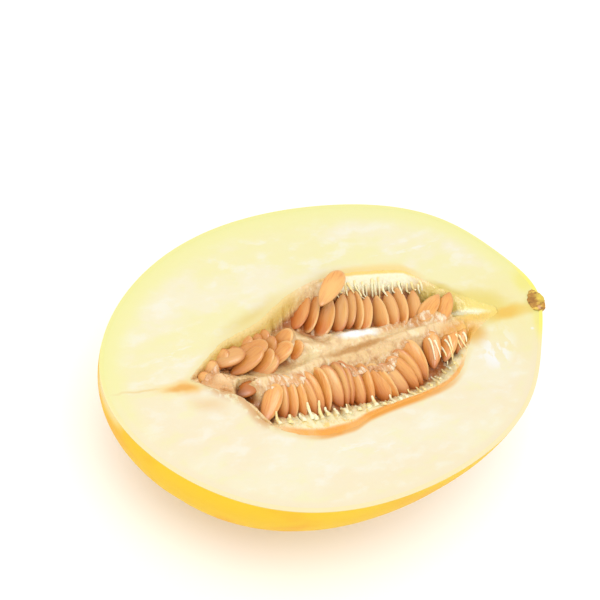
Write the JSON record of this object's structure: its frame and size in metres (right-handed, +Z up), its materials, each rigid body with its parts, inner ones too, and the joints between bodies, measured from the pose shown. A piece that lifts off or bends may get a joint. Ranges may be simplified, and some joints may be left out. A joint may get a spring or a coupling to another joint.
{
  "type": "halved melon",
  "caption": "Half of an oval yellow-skinned melon cut lengthwise, lying cut face up, with rind, flesh, pulp, seeds and a stem stub.",
  "frame": {"origin": "middle of the small flat resting spot under the rind", "axes": "+X runs along the fruit to its stem end, +Z is up and square to the level cut face, +Y points to the side where the seed cavity is shallower"},
  "size_m": [0.1511, 0.1048, 0.0641],
  "materials": {
    "rind": "satin",
    "flesh": "moist",
    "pulp": "wet",
    "seed": "wet",
    "stem": "rough"
  },
  "bodies": {
    "root": {"rind": "rind", "flesh": "flesh", "pulp": "pulp", "stem_stub": "stem", "seeds_near_row": "seed", "seeds_far_row": "seed", "seeds_pocket": "seed", "seed_in_hollow": "seed", "loose_seed": "seed"}
  },
  "joints": []
}
